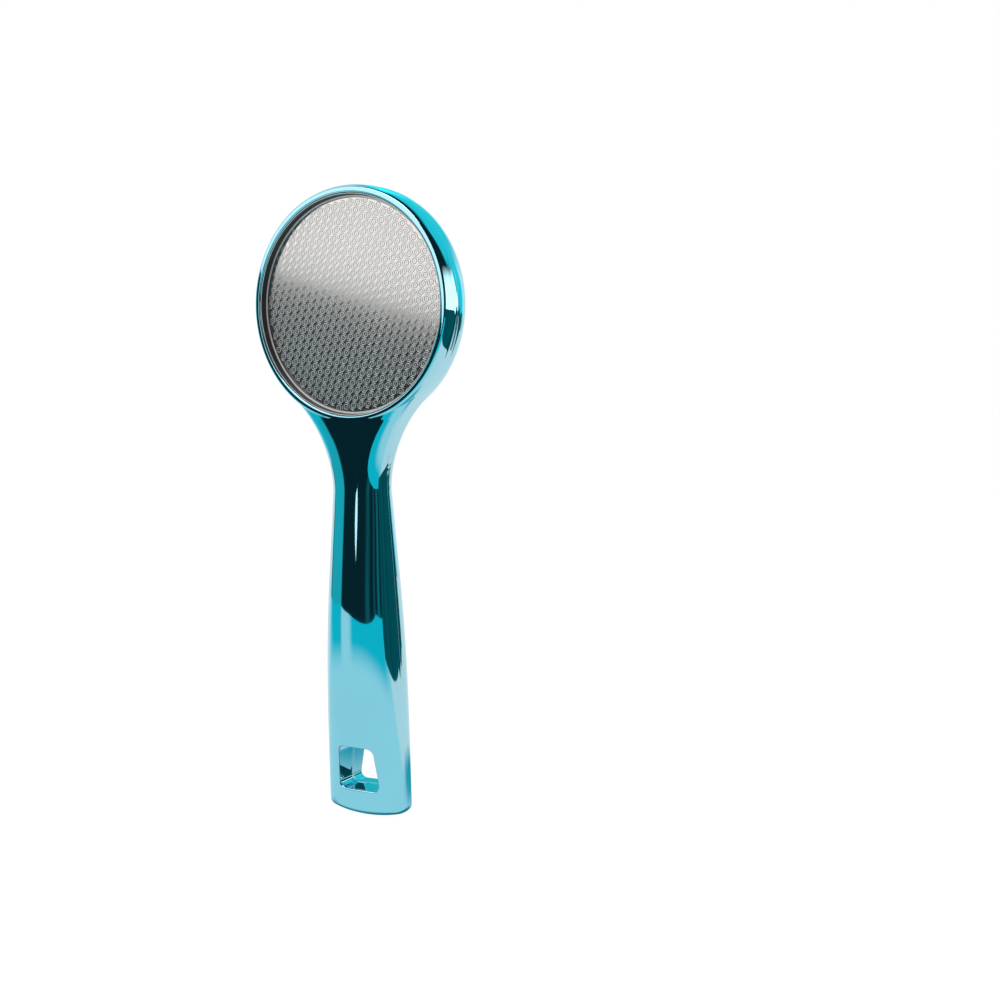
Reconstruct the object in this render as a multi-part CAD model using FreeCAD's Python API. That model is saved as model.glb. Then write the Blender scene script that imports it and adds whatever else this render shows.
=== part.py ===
import FreeCAD, Part

import math
import os

from FreeCAD import Vector

# Foot file with a round head and a tapered handle, standing on the handle's end.
# +Z runs up the handle to the head, the front plate faces -Y, and Y = 0 is the plane where the shells meet.
# The origin is the lowest point of the handle's end. All lengths are in millimetres.

# Head
head_radius = 37.5
head_height = 165.0
rim_half_thickness = 6.0
rim_width = 2.7
rim_land = 0.4
rim_squareness = 2.5

# Handle: half sizes at the end, the belly and the neck
end_half_width = 15.6
end_half_thickness = 5.1
belly_height = 58.0
belly_half_thickness = 10.9
neck_half_width = 9.8
neck_half_thickness = 7.3
side_bulge = 0.3
flare_radius = 39.0
handle_squareness = 2.3
flare_squareness = 6.0
flare_onset = 4.0
end_crown = 2.6
end_corner_radius = 4.5
end_round = 9.0

# Hang hole: a rounded trapezoid, drafted from both faces to the shells' plane
hole_bottom = 9.5
hole_top = 23.7
hole_top_half_width = 6.6
hole_bottom_half_width = 7.9
hole_corner_radius = 2.4
hole_draft = 0.45

# Shells and the pins that line them up
wall = 2.2
pin_count = 3
pin_radius = 1.5
pin_length = 3.5
pin_clearance = 0.1
boss_radius = 3.2

# File plates, their rings and their adhesive pads
plate_depth = 3.0
plate_thickness = 0.5
plate_clearance = 0.2
pad_thickness = 0.6
pad_margin = 0.6
ring_clearance = 0.1
ring_wall = 0.35
ring_lip_width = 0.9
ring_lip_thickness = 0.4
ring_below_rim = 0.45

# How finely the body's sections are drawn
section_point_count = 40
handle_section_count = 10
flare_section_count = 5
end_section_count = 7

# Values that follow from the sizes above
recess_radius = head_radius - rim_width
land_radius = recess_radius + rim_land
plate_face = rim_half_thickness - plate_depth
pad_face = plate_face - plate_thickness
seat_face = pad_face - pad_thickness
plate_radius = recess_radius - plate_clearance
ring_radius = recess_radius - ring_clearance
ring_bore = ring_radius - ring_wall
flare_centre_x = neck_half_width + flare_radius
flare_reach = head_radius + flare_radius
neck_height = head_height - math.sqrt(flare_reach ** 2 - flare_centre_x ** 2)
flare_top = head_height - head_radius / flare_reach * (head_height - neck_height)
rim_foot = head_height - land_radius
overshoot = 4.0
depth_limit = 2.0 * max(belly_half_thickness, rim_half_thickness)
head_centre = Vector(0, 0, head_height)
front = Vector(0, -1, 0)


def hermite(value, low, high):
    """Smooth curve between two stations, each a place, a value and a slope."""
    span = high[0] - low[0]
    t = (value - low[0]) / span
    rise = (3.0 - 2.0 * t) * t * t
    slopes = low[2] * t * (1.0 - t) ** 2 - high[2] * t * t * (1.0 - t)
    return low[1] + (high[1] - low[1]) * rise + slopes * span


def half_width(height):
    """Half-width of the handle, its flare included."""
    share = height / neck_height
    if share <= 1.0:
        taper = end_half_width + (neck_half_width - end_half_width) * share
        return taper + 4.0 * side_bulge * share * (1.0 - share)
    rise = height - neck_height
    return flare_centre_x - math.sqrt(flare_radius ** 2 - rise ** 2)


def half_thickness(height):
    """Half-thickness of the handle from its end to the foot of the rim."""
    end_slope = 2.0 * (belly_half_thickness - end_half_thickness) / belly_height
    rim_slope = (rim_half_thickness - neck_half_thickness) / (rim_foot - neck_height)
    neck_slope = (rim_half_thickness - belly_half_thickness) / (rim_foot - belly_height)
    end = (0.0, end_half_thickness, end_slope)
    belly = (belly_height, belly_half_thickness, 0.0)
    neck = (neck_height, neck_half_thickness, neck_slope)
    rim = (rim_foot, rim_half_thickness, rim_slope)
    if height <= 0.0:
        return end_half_thickness + end_slope * height
    if height <= belly_height:
        return hermite(height, end, belly)
    if height <= neck_height:
        return hermite(height, belly, neck)
    if height <= rim_foot:
        return hermite(height, neck, rim)
    return rim_half_thickness


def squareness(height):
    """Exponent of the section's rounded outline: oval handle, squarer flare."""
    share = max(0.0, (height - neck_height) / (flare_top - neck_height))
    return handle_squareness + (flare_squareness - handle_squareness) * share ** flare_onset


def section(height, inset=0.0):
    """Closed outline of the handle at one height, drawn in by the inset."""
    across = half_width(height) - inset
    deep = half_thickness(height) - inset
    power = 2.0 / squareness(height)
    points = []
    for step in range(section_point_count):
        angle = 2.0 * math.pi * (step + 0.5) / section_point_count
        c = math.cos(angle)
        s = math.sin(angle)
        x = across * math.copysign(abs(c) ** power, c)
        y = deep * math.copysign(abs(s) ** power, s)
        points.append(Vector(x, y, height))
    curve = Part.BSplineCurve()
    curve.interpolate(points, PeriodicFlag=True)
    return Part.Wire([curve.toShape()])


def spaced(low, high, count):
    """Evenly spaced heights, both ends included."""
    return [low + (high - low) * step / (count - 1) for step in range(count)]


def handle_solid():
    """Smooth handle with its flare, before the end is shaped."""
    lower = spaced(-overshoot, neck_height, handle_section_count)
    upper = spaced(neck_height, flare_top, flare_section_count)
    wires = [section(height) for height in lower + upper[1:]]
    return Part.makeLoft(wires, True, False)


def end_outline(depth):
    """Outline of the crowned end with its two round corners, at one depth, and open room above it."""
    side = end_half_width
    crown_radius = (side ** 2 + end_crown ** 2) / (2.0 * end_crown)
    corner_x = side - end_corner_radius
    corner_z = crown_radius - math.sqrt((crown_radius - end_corner_radius) ** 2 - corner_x ** 2)
    lean = math.atan2(corner_x, crown_radius - corner_z)
    turn = (math.pi / 2.0 - lean) / 2.0
    foot = Vector(crown_radius * math.sin(lean), 0, crown_radius * (1.0 - math.cos(lean)))
    middle_x = corner_x + end_corner_radius * math.sin(lean + turn)
    middle_z = corner_z - end_corner_radius * math.cos(lean + turn)
    middle = Vector(middle_x, 0, middle_z)
    outer = max(side, flare_centre_x)
    right = [
        Vector(side, 0, corner_z),
        Vector(side, 0, belly_height),
        Vector(outer, 0, neck_height),
        Vector(outer, 0, flare_top + overshoot),
    ]

    def mirrored(point):
        return Vector(-point.x, 0, point.z)

    path = right + [mirrored(point) for point in reversed(right)]
    edges = [Part.Arc(mirrored(foot), Vector(0, 0, 0), foot).toShape()]
    edges.append(Part.Arc(foot, middle, path[0]).toShape())
    edges += [Part.LineSegment(path[i], path[i + 1]).toShape() for i in range(len(path) - 1)]
    edges.append(Part.Arc(path[-1], mirrored(middle), mirrored(foot)).toShape())
    wire = Part.Wire(edges)
    wire.translate(Vector(0, depth, depth ** 2 / (2.0 * end_round)))
    return wire


def end_blank():
    """Block whose underside is the end's shape, crowned across and rounded from front to rear."""
    reach = belly_half_thickness + overshoot
    depths = spaced(-reach, reach, end_section_count)
    return Part.makeLoft([end_outline(depth) for depth in depths], True, False)


def turned(profile):
    """Solid of revolution about the head's own axis, from (radius, depth) points and arcs."""
    face = Part.Face(Part.Wire(profile))
    solid = face.revolve(Vector(0, 0, 0), front, 360.0)
    solid.translate(head_centre)
    return solid


def line(start, stop):
    """Straight profile edge between two (radius, y) pairs."""
    return Part.LineSegment(Vector(start[0], start[1], 0), Vector(stop[0], stop[1], 0)).toShape()


def head_solid():
    """Disc with a barrelled outer wall, before its recesses are cut."""
    steps = section_point_count // 2
    points = []
    for step in range(steps + 1):
        angle = math.pi * (step / steps - 0.5)
        c = math.cos(angle)
        s = math.sin(angle)
        barrel = abs(c) ** (2.0 / rim_squareness)
        depth = math.copysign(abs(s) ** (2.0 / rim_squareness), s)
        radius = land_radius + (head_radius - land_radius) * barrel
        points.append(Vector(radius, rim_half_thickness * depth, 0))
    curve = Part.BSplineCurve()
    curve.interpolate(points)
    low = (land_radius, -rim_half_thickness)
    high = (land_radius, rim_half_thickness)
    axis_low = (0.0, -rim_half_thickness)
    axis_high = (0.0, rim_half_thickness)
    return turned([line(axis_low, low), curve.toShape(), line(high, axis_high), line(axis_high, axis_low)])


def disc(radius, inner_face, outer_face):
    """Round plate on the head's axis, between two distances in front of the shells' plane."""
    return Part.makeCylinder(radius, outer_face - inner_face, head_centre + front * inner_face, front)


def hole_outline(depth):
    """Rounded trapezoid of the hang hole at one distance in front of the shells' plane."""
    flank = half_thickness((hole_top + hole_bottom) / 2.0)
    inset = hole_draft * (1.0 - depth / flank)
    low = hole_bottom + inset
    high = hole_top - inset
    corners = [
        Vector(-hole_bottom_half_width + inset, 0, low),
        Vector(hole_bottom_half_width - inset, 0, low),
        Vector(hole_top_half_width - inset, 0, high),
        Vector(-hole_top_half_width + inset, 0, high),
    ]
    edges = []
    stops = []
    for index, corner in enumerate(corners):
        before = (corners[index - 1] - corner).normalize()
        after = (corners[(index + 1) % len(corners)] - corner).normalize()
        half_angle = before.getAngle(after) / 2.0
        run = hole_corner_radius / math.tan(half_angle)
        bisector = (before + after).normalize()
        middle = corner + bisector * (hole_corner_radius / math.sin(half_angle) - hole_corner_radius)
        stops.append((corner + before * run, middle, corner + after * run))
    for index, (start, middle, stop) in enumerate(stops):
        edges.append(Part.Arc(start, middle, stop).toShape())
        edges.append(Part.LineSegment(stop, stops[(index + 1) % len(stops)][0]).toShape())
    wire = Part.Wire(edges)
    wire.translate(front * depth)
    return wire


def hang_hole():
    """Half of the hang hole, from the shells' plane out past the front face."""
    return Part.makeLoft([hole_outline(0.0), hole_outline(depth_limit)], True, True)


def pin_places():
    """Where the locating pins stand on the shells' plane."""
    low = hole_top + 2.0 * wall + boss_radius
    high = neck_height - wall - boss_radius
    return [Vector(0, 0, height) for height in spaced(low, high, pin_count)]


def cavity():
    """Hollow of the handle, above the hang hole and below the head, with a post at each pin."""
    low = hole_top + wall
    heights = spaced(low, neck_height, handle_section_count)
    hollow = Part.makeLoft([section(height, wall) for height in heights], True, False)
    for place in pin_places():
        post = Part.makeCylinder(boss_radius, 2.0 * depth_limit, place + front * depth_limit, -front)
        hollow = hollow.cut(post)
    return hollow


def front_half(shape):
    """The part of a shape in front of the shells' plane."""
    reach = 2.0 * (head_height + head_radius)
    box = Part.makeBox(reach, depth_limit, reach, Vector(-reach / 2.0, -depth_limit, -reach / 4.0))
    return shape.common(box)


def to_rear(shape):
    """The same shape turned from the front half to the rear half."""
    return shape.mirror(Vector(0, 0, 0), front)


def bare_shell():
    """Front half of the body with its recess, hang hole and hollow."""
    body = handle_solid().common(end_blank()).fuse(head_solid())
    body = body.cut(cavity())
    shell = front_half(body)
    shell = shell.cut(disc(recess_radius, seat_face, depth_limit))
    return shell.cut(hang_hole())


def front_shell(bare):
    """Front shell with a socket for each pin."""
    shell = bare
    for place in pin_places():
        depth = pin_length + pin_clearance
        shell = shell.cut(Part.makeCylinder(pin_radius + pin_clearance, depth, place, front))
    return shell.removeSplitter()


def rear_shell(bare):
    """Rear shell with its pins."""
    shell = to_rear(bare)
    for place in pin_places():
        root = place - front * pin_length
        shell = shell.fuse(Part.makeCylinder(pin_radius, 2.0 * pin_length, root, front))
    return shell.removeSplitter()


def plate_ring():
    """Ring of L section: a wall that lines the recess and a rounded lip over the plate's border."""
    foot = plate_face
    crest = rim_half_thickness - ring_below_rim
    lip = foot + ring_lip_thickness
    bore = ring_bore - ring_lip_width
    round_start = (bore, -(foot + ring_lip_thickness / 2.0))
    round_stop = (bore + ring_lip_thickness / 2.0, -lip)
    middle = ring_lip_thickness / 2.0 * (1.0 - math.sqrt(0.5))
    arc = Part.Arc(
        Vector(round_start[0], round_start[1], 0),
        Vector(bore + middle, -(lip - middle), 0),
        Vector(round_stop[0], round_stop[1], 0),
    )
    path = [round_stop, (ring_bore, -lip), (ring_bore, -crest), (ring_radius, -crest), (ring_radius, -foot)]
    path += [(bore, -foot), round_start]
    edges = [line(path[i], path[i + 1]) for i in range(len(path) - 1)]
    return turned(edges + [arc.toShape()])


def build():
    """All pieces by name."""
    bare = bare_shell()
    plate = disc(plate_radius, pad_face, plate_face)
    pad = disc(plate_radius - pad_margin, seat_face, pad_face)
    ring = plate_ring()
    return {
        "front_shell": front_shell(bare),
        "rear_shell": rear_shell(bare),
        "coarse_file_plate": plate,
        "coarse_plate_ring": ring,
        "coarse_adhesive_pad": pad,
        "fine_file_plate": to_rear(plate),
        "fine_plate_ring": to_rear(ring),
        "fine_adhesive_pad": to_rear(pad),
    }


os.makedirs("parts", exist_ok=True)
for name, shape in build().items():
    box = shape.BoundBox
    print(name, "valid", shape.isValid(), "solids", len(shape.Solids), "volume", round(shape.Volume, 2))
    print("  x", round(box.XMin, 2), round(box.XMax, 2), "y", round(box.YMin, 2), round(box.YMax, 2),
          "z", round(box.ZMin, 2), round(box.ZMax, 2))
    shape.exportStep("parts/" + name + ".step")
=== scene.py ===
"""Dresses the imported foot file: plated body, etched plates, rings, pads, and the studio around them."""

import logging
import math
from dataclasses import dataclass, field
from enum import Enum
from typing import Sequence

import bmesh
import bpy
import numpy as np
from mathutils import Matrix, Vector


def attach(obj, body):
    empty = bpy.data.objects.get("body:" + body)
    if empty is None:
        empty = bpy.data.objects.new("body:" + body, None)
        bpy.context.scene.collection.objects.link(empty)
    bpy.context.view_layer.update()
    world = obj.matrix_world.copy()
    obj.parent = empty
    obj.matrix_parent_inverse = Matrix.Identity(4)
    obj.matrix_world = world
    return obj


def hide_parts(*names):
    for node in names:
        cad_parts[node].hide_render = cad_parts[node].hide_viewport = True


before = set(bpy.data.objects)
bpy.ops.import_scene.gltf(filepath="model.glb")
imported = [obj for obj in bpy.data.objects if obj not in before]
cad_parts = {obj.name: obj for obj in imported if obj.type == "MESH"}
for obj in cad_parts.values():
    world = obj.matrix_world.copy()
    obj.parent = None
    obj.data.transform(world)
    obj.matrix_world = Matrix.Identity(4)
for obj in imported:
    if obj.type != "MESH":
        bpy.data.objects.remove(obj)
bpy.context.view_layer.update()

LOG = logging.getLogger("foot_file")
MM = 0.001
BODY = "root"
TINY = 1e-9
CREASE = 1e-6
QUARTER = math.pi / 2.0
DEGREES = 180.0 / math.pi

Colour = tuple[float, float, float]
Pair = tuple[float, float]
Settings = dict[str, object] | None
Inputs = dict[str | int, object] | None
WHITE: Colour = (1.0, 1.0, 1.0)
BLACK: Colour = (0.0, 0.0, 0.0)


class Face(Enum):
    """Which face of the tool a piece belongs to; the value is the sign of its Y."""

    FRONT = -1.0
    REAR = 1.0


class Grain(Enum):
    """Finish of one face of a file plate, by its place among the plate's materials."""

    ETCHED = 0
    GROUND = 1
    FROSTED = 2


class InnerEnd(Enum):
    """What a line drawn inward from the body's outline ends on."""

    RIM = "rim"
    SPINE = "spine"
    HOLE = "hole"


def smooth_max(a: np.ndarray, b: np.ndarray, reach: np.ndarray) -> np.ndarray:
    """Larger of two heights with the crease between them rounded.

    Args:
        a: First heights.
        b: Second heights.
        reach: How far apart two heights still blend; nought leaves the crease sharp.

    Returns:
        The blended heights.
    """
    span = np.maximum(reach, CREASE)
    near = np.maximum(span - np.abs(a - b), 0.0)
    return np.maximum(a, b) + near * near / (4.0 * span)


def smooth_min(a: np.ndarray, b: np.ndarray, reach: np.ndarray) -> np.ndarray:
    """Smaller of two heights with the edge between them rounded."""
    return -smooth_max(-a, -b, reach)


def unit(vector: np.ndarray) -> np.ndarray:
    """The vector, or each row of vectors, at length one."""
    return vector / np.linalg.norm(vector, axis=-1, keepdims=True)


def walk(points: np.ndarray) -> np.ndarray:
    """Distance run along a line of points, starting at nought."""
    steps = np.linalg.norm(np.diff(points, axis=0), axis=1)
    return np.concatenate([[0.0], np.cumsum(steps)])


def along(points: np.ndarray, places: np.ndarray) -> np.ndarray:
    """Points at given distances along a line of points."""
    run = walk(points)
    return np.stack([np.interp(places, run, column) for column in points.T], axis=1)


def circle(turn: np.ndarray, radius: float, height: float) -> np.ndarray:
    """Rows of (across, height) on a circle about a height of the middle line, by turns from its top."""
    return np.stack([radius * np.sin(turn), height + radius * np.cos(turn)], axis=1)


def arc(centre: Pair, radius: float, first: float, last: float, count: int) -> list[Pair]:
    """Points of an arc in a section.

    Args:
        centre: Its centre.
        radius: Its radius.
        first: Angle of the first point, in degrees.
        last: Angle of the last point, in degrees.
        count: How many points.

    Returns:
        Pairs of places, in order.
    """
    turn = np.radians(np.linspace(first, last, count))
    return [(centre[0] + radius * math.cos(t), centre[1] + radius * math.sin(t)) for t in turn]


def placed(name: str, data: bpy.types.ID) -> bpy.types.Object:
    """New object of a mesh or a camera, linked to the scene.

    Args:
        name: Its name.
        data: Its mesh or camera.

    Returns:
        The new object.
    """
    made = bpy.data.objects.new(name, data)
    bpy.context.scene.collection.objects.link(made)
    return made


def flat_panel(name: str, corners: Sequence[Sequence[float]]) -> bpy.types.Object:
    """New object of one flat face.

    Args:
        name: Its name.
        corners: Its corners in metres, in order.

    Returns:
        The new object.
    """
    mesh = bpy.data.meshes.new(name)
    mesh.from_pydata(corners, [], [tuple(range(len(corners)))])
    return placed(name, mesh)


@dataclass(frozen=True)
class BodyForm:
    """Sizes of the plated body in millimetres, and the curves that follow from them.

    X is across, Z is up the handle, and depth is the distance in front of the shells' plane.
    """

    head_radius: float = 37.5
    head_height: float = 165.0
    head_fade: float = 6.0
    rim_half_thickness: float = 6.0
    rim_width: float = 2.7
    rim_land: float = 1.2
    rim_squareness: float = 2.5
    rim_blend: float = 0.12
    rim_blend_onset: float = 0.8
    belly_height: float = 58.0
    belly_half_thickness: float = 10.9
    neck_half_width: float = 9.8
    neck_half_thickness: float = 7.3
    side_bulge: float = 0.3
    handle_squareness: float = 2.3
    flare_radius: float = 39.0
    flare_squareness: float = 6.0
    flare_onset: float = 1.8
    end_half_width: float = 15.6
    end_half_thickness: float = 5.1
    end_crown: float = 2.6
    end_corner_radius: float = 4.5
    end_round: float = 9.0
    end_edge_blend: float = 1.3
    end_edge_share: float = 0.8

    @property
    def recess_radius(self) -> float:
        """Radius of the recess that holds a plate."""
        return self.head_radius - self.rim_width

    @property
    def land_radius(self) -> float:
        """Radius where the rim's flat crest begins."""
        return self.recess_radius + self.rim_land

    @property
    def flare_centre_x(self) -> float:
        """Distance of the flare arc's centre from the middle plane."""
        return self.neck_half_width + self.flare_radius

    @property
    def flare_reach(self) -> float:
        """Distance between the centres of the head and of the flare arc."""
        return self.head_radius + self.flare_radius

    @property
    def neck_height(self) -> float:
        """Height of the narrowest place, where the flare starts."""
        return self.head_height - math.sqrt(self.flare_reach ** 2 - self.flare_centre_x ** 2)

    @property
    def flare_top(self) -> float:
        """Height where the flare meets the head's outline."""
        share = self.head_radius / self.flare_reach
        return self.head_height - share * (self.head_height - self.neck_height)

    @property
    def rim_foot(self) -> float:
        """Height of the rim's crest at its lowest point."""
        return self.head_height - self.land_radius

    @property
    def crown_radius(self) -> float:
        """Radius of the crowned end, seen from the front."""
        return (self.end_half_width ** 2 + self.end_crown ** 2) / (2.0 * self.end_crown)

    @property
    def corner_centre(self) -> Pair:
        """Place across and height of the centre of the end's round corner.

        Returns:
            The place across and the height.
        """
        across = self.end_half_width - self.end_corner_radius
        drop = math.sqrt((self.crown_radius - self.end_corner_radius) ** 2 - across ** 2)
        return across, self.crown_radius - drop

    @property
    def corner_lean(self) -> float:
        """Angle from straight down at which the crown runs into the round corner."""
        across, height = self.corner_centre
        return math.atan2(across, self.crown_radius - height)

    def half_width(self, height: np.ndarray) -> np.ndarray:
        """Half-width of the handle and its flare.

        Args:
            height: Heights up the handle.

        Returns:
            The half-width at each height.
        """
        share = height / self.neck_height
        taper = self.end_half_width + (self.neck_half_width - self.end_half_width) * share
        taper = taper + 4.0 * self.side_bulge * share * (1.0 - share)
        rise = np.clip(height, self.neck_height, self.flare_top) - self.neck_height
        flare = self.flare_centre_x - np.sqrt(self.flare_radius ** 2 - rise ** 2)
        return np.where(height <= self.neck_height, taper, flare)

    def half_thickness(self, height: np.ndarray) -> np.ndarray:
        """Half-thickness of the handle: a smooth curve through its end, belly, neck and rim.

        Args:
            height: Heights up the handle.

        Returns:
            The half-thickness at each height.
        """
        end, belly = self.end_half_thickness, self.belly_half_thickness
        neck, rim = self.neck_half_thickness, self.rim_half_thickness
        end_slope = 2.0 * (belly - end) / self.belly_height
        neck_slope = (rim - belly) / (self.rim_foot - self.belly_height)
        rim_slope = (rim - neck) / (self.rim_foot - self.neck_height)
        places = (0.0, self.belly_height, self.neck_height, self.rim_foot)
        slopes = (end_slope, 0.0, neck_slope, rim_slope)
        knots = tuple(zip(places, (end, belly, neck, rim), slopes))
        held = np.clip(height, 0.0, self.rim_foot)
        result = np.full(np.shape(height), rim)
        for (low, first, leave), (high, last, reach) in zip(knots, knots[1:]):
            t = (held - low) / (high - low)
            curve = first + (last - first) * (3.0 - 2.0 * t) * t * t
            bend = leave * t * (1.0 - t) ** 2 - reach * t * t * (1.0 - t)
            curve = curve + (high - low) * bend
            result = np.where((held >= low) & (held <= high), curve, result)
        return result + end_slope * np.minimum(height, 0.0)

    def squareness(self, height: np.ndarray) -> np.ndarray:
        """Exponent of the handle's section: oval below the neck, squarer in the flare.

        Args:
            height: Heights up the handle.

        Returns:
            The exponent at each height.
        """
        share = (height - self.neck_height) / (self.flare_top - self.neck_height)
        share = np.clip(share, 0.0, 1.0) ** self.flare_onset
        return self.handle_squareness + (self.flare_squareness - self.handle_squareness) * share

    def end_floor(self, across: np.ndarray) -> np.ndarray:
        """Height of the end's outline.

        Args:
            across: Places across.

        Returns:
            The outline's height at each place.
        """
        x = np.minimum(np.abs(across), self.end_half_width)
        corner_x, corner_z = self.corner_centre
        crown = self.crown_radius - np.sqrt(self.crown_radius ** 2 - x ** 2)
        bend = self.end_corner_radius ** 2 - np.maximum(x - corner_x, 0.0) ** 2
        corner = corner_z - np.sqrt(np.maximum(bend, 0.0))
        return np.where(x > self.crown_radius * math.sin(self.corner_lean), corner, crown)

    def handle_depth(self, across: np.ndarray, height: np.ndarray) -> np.ndarray:
        """Depth of the handle alone, rounded at its end and faded out in the head.

        Args:
            across: Places across.
            height: Heights up the handle.

        Returns:
            The depth at each place.
        """
        held = np.minimum(height, self.flare_top)
        power = self.squareness(held)
        share = np.clip(np.abs(across) / self.half_width(held), 0.0, 1.0)
        side = self.half_thickness(height) * (1.0 - share ** power) ** (1.0 / power)
        rise = np.maximum(height - self.end_floor(across), 0.0)
        end = np.sqrt(2.0 * self.end_round * rise)
        edge = np.minimum(self.end_edge_blend, self.end_edge_share * np.minimum(side, end))
        gone = np.clip((height - self.flare_top) / self.head_fade, 0.0, 1.0)
        return smooth_min(side, end, edge) * (1.0 - gone * gone * (3.0 - 2.0 * gone))

    def depth(self, across: np.ndarray, height: np.ndarray) -> np.ndarray:
        """How far the body's face stands in front of the shells' plane.

        Args:
            across: Places across.
            height: Heights.

        Returns:
            The depth at each place, nought on the outline.
        """
        handle = self.handle_depth(across, height)
        past = np.hypot(across, height - self.head_height) - self.land_radius
        shoulder = np.clip(past / (self.head_radius - self.land_radius), 0.0, 1.0)
        power = self.rim_squareness
        head = self.rim_half_thickness * (1.0 - shoulder ** power) ** (1.0 / power)
        reach = self.rim_blend * np.clip(past / self.rim_blend_onset, 0.0, 1.0)
        both = np.minimum(handle, head) > CREASE
        return np.where(both, smooth_max(handle, head, reach), np.maximum(handle, head))


@dataclass(frozen=True)
class HoleForm:
    """Hang hole of the handle: a rounded trapezoid with a soft mouth, in millimetres."""

    bottom: float = 9.5
    top: float = 23.7
    top_half_width: float = 6.6
    bottom_half_width: float = 7.9
    corner_radius: float = 2.4
    corner_steps: int = 14
    draft: float = 0.45
    mouth_round: float = 0.9
    parting_ridge: float = 0.12
    parting_width: float = 0.4

    def mouth(self) -> np.ndarray:
        """Right half of the line round the hole's mouth, from its top's middle to its bottom's.

        Returns:
            Rows of (across, height).
        """
        grow = self.mouth_round
        low, high = self.bottom - grow, self.top + grow
        slope = (self.bottom_half_width - self.top_half_width) / (self.top - self.bottom)
        lean = math.hypot(1.0, slope) * grow
        upper = self.top_half_width + lean - slope * grow
        lower = self.bottom_half_width + lean + slope * grow
        path = np.array([[0.0, high], [upper, high], [lower, low], [0.0, low]])
        radius = self.corner_radius + grow
        t = np.linspace(0.0, 1.0, self.corner_steps + 1)[:, None]
        line = [path[:1]]
        for i in (1, 2):
            back, ahead = (unit(path[j] - path[i]) for j in (i - 1, i + 1))
            half = math.acos(float(back @ ahead)) / 2.0
            centre = path[i] + unit(back + ahead) * (radius / math.sin(half))
            start, stop = (path[i] + way * (radius / math.tan(half)) - centre for way in (back, ahead))
            swing = math.acos(float(start @ stop) / radius ** 2)
            turned = np.sin((1.0 - t) * swing) * start + np.sin(t * swing) * stop
            line.append(centre + turned / math.sin(swing))
        return np.concatenate([*line, path[3:]])


class Field:
    """One value on a surface, so that shader maths reads as plain expressions."""

    def __init__(self, graph: "ShaderGraph", socket: bpy.types.NodeSocket) -> None:
        """Wraps an output socket of a graph."""
        self.graph = graph
        self.socket = socket

    def math(self, operation: str, *others: "Field | float") -> "Field":
        """Result of one Math node with this value first."""
        values = dict(enumerate((self, *others)))
        return self.graph.field("ShaderNodeMath", {"operation": operation}, values)

    def __add__(self, other: "Field | float") -> "Field":
        """Sum."""
        return self.math("ADD", other)

    __radd__ = __add__

    def __mul__(self, other: "Field | float") -> "Field":
        """Product."""
        return self.math("MULTIPLY", other)

    __rmul__ = __mul__

    def __sub__(self, other: "Field | float") -> "Field":
        """Difference."""
        return self.math("SUBTRACT", other)

    def __rsub__(self, other: float) -> "Field":
        """Difference from a number."""
        return self * -1.0 + other

    def __truediv__(self, other: "Field | float") -> "Field":
        """Quotient."""
        return self.math("DIVIDE", other)

    def __rtruediv__(self, other: float) -> "Field":
        """Quotient of a number by this value."""
        return self.math("POWER", -1.0) * other

    def __abs__(self) -> "Field":
        """Size without its sign."""
        return self.math("ABSOLUTE")

    def step(self, low: float, high: float) -> "Field":
        """Smooth rise from nought at low to one at high, or a fall where low is the larger."""
        inputs = {"Value": self, "From Min": low, "From Max": high}
        return self.graph.field("ShaderNodeMapRange", {"interpolation_type": "SMOOTHSTEP"}, inputs)


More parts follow.
